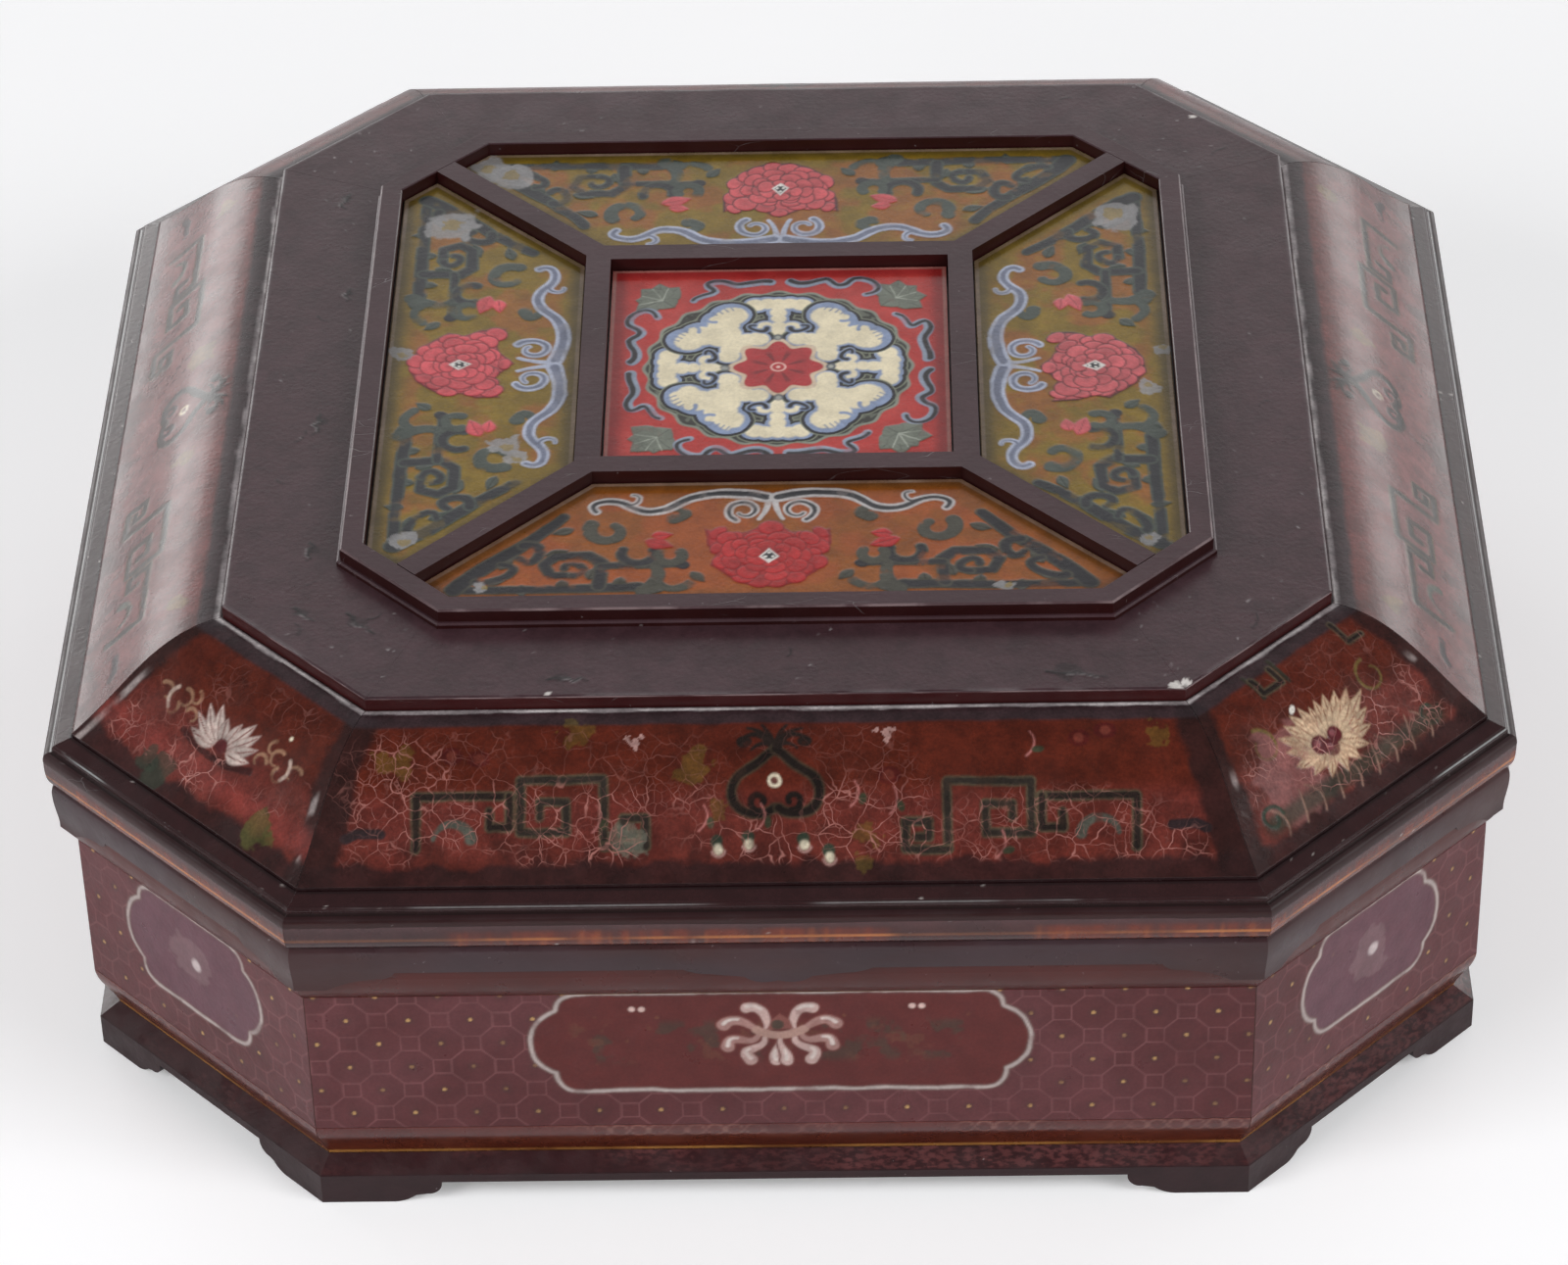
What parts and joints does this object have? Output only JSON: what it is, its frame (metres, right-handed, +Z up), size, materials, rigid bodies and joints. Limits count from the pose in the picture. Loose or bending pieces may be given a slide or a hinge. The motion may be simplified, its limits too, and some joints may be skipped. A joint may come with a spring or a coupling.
{
  "type": "lacquer box",
  "caption": "Octagonal lacquered wooden box with an S-curved lift-off lid, a framed group of painted panels on top, a carved waist moulding and bracket feet.",
  "frame": {"origin": "centre of the footprint, on the plane the feet stand on", "axes": "+Z up, the front long side looks along -Y, +X to the viewer's right"},
  "size_m": [0.4, 0.4, 0.1464],
  "materials": {
    "dark_lacquer": "satin dark purple-brown lacquer with fine cracks and worn edges",
    "ogee_lacquer": "satin red-brown lacquer with painted flowers, frets and cracks",
    "wall_lacquer": "satin red-brown lacquer with a faint octagon diaper and silvered cartouche lines",
    "cove_lacquer": "satin red-brown lacquer with a worn gold line",
    "plinth_lacquer": "satin near-black lacquer",
    "inside_lacquer": null,
    "centre_panel_paint": "painting on a red ground under a clear glossy surface",
    "side_panel_paint": "painting on an ochre ground under a clear glossy surface"
  },
  "bodies": {
    "base": {"plinth_front": "plinth_lacquer", "plinth_front_right": "plinth_lacquer", "plinth_right": "plinth_lacquer", "plinth_back_right": "plinth_lacquer", "plinth_back": "plinth_lacquer", "plinth_back_left": "plinth_lacquer", "plinth_left": "plinth_lacquer", "plinth_front_left": "plinth_lacquer", "cove_moulding": "cove_lacquer", "bottom_board": "inside_lacquer", "wall_front": "wall_lacquer", "wall_front_right": "wall_lacquer", "wall_right": "wall_lacquer", "wall_back_right": "wall_lacquer", "wall_back": "wall_lacquer", "wall_back_left": "wall_lacquer", "wall_left": "wall_lacquer", "wall_front_left": "wall_lacquer", "waist_front": "dark_lacquer", "waist_front_right": "dark_lacquer", "waist_right": "dark_lacquer", "waist_back_right": "dark_lacquer", "waist_back": "dark_lacquer", "waist_back_left": "dark_lacquer", "waist_left": "dark_lacquer", "waist_front_left": "dark_lacquer", "locating_lip": "inside_lacquer"},
    "lid": {"rim_front": "dark_lacquer", "rim_front_right": "dark_lacquer", "rim_right": "dark_lacquer", "rim_back_right": "dark_lacquer", "rim_back": "dark_lacquer", "rim_back_left": "dark_lacquer", "rim_left": "dark_lacquer", "rim_front_left": "dark_lacquer", "ogee_front": "ogee_lacquer", "ogee_front_right": "ogee_lacquer", "ogee_right": "ogee_lacquer", "ogee_back_right": "ogee_lacquer", "ogee_back": "ogee_lacquer", "ogee_back_left": "ogee_lacquer", "ogee_left": "ogee_lacquer", "ogee_front_left": "ogee_lacquer", "top_board": "dark_lacquer", "frame_front": "dark_lacquer", "frame_front_right": "dark_lacquer", "frame_right": "dark_lacquer", "frame_back_right": "dark_lacquer", "frame_back": "dark_lacquer", "frame_back_left": "dark_lacquer", "frame_left": "dark_lacquer", "frame_front_left": "dark_lacquer", "centre_bars": "dark_lacquer", "diagonal_bars": "dark_lacquer", "panel_centre": "centre_panel_paint", "panel_front": "side_panel_paint", "panel_right": "side_panel_paint", "panel_back": "side_panel_paint", "panel_left": "side_panel_paint"}
  },
  "joints": [
    {"name": "lid_lift", "type": "slide", "parent": "base", "child": "lid", "axis": [0, 0, 1], "range_m": [0, 0.16]}
  ]
}
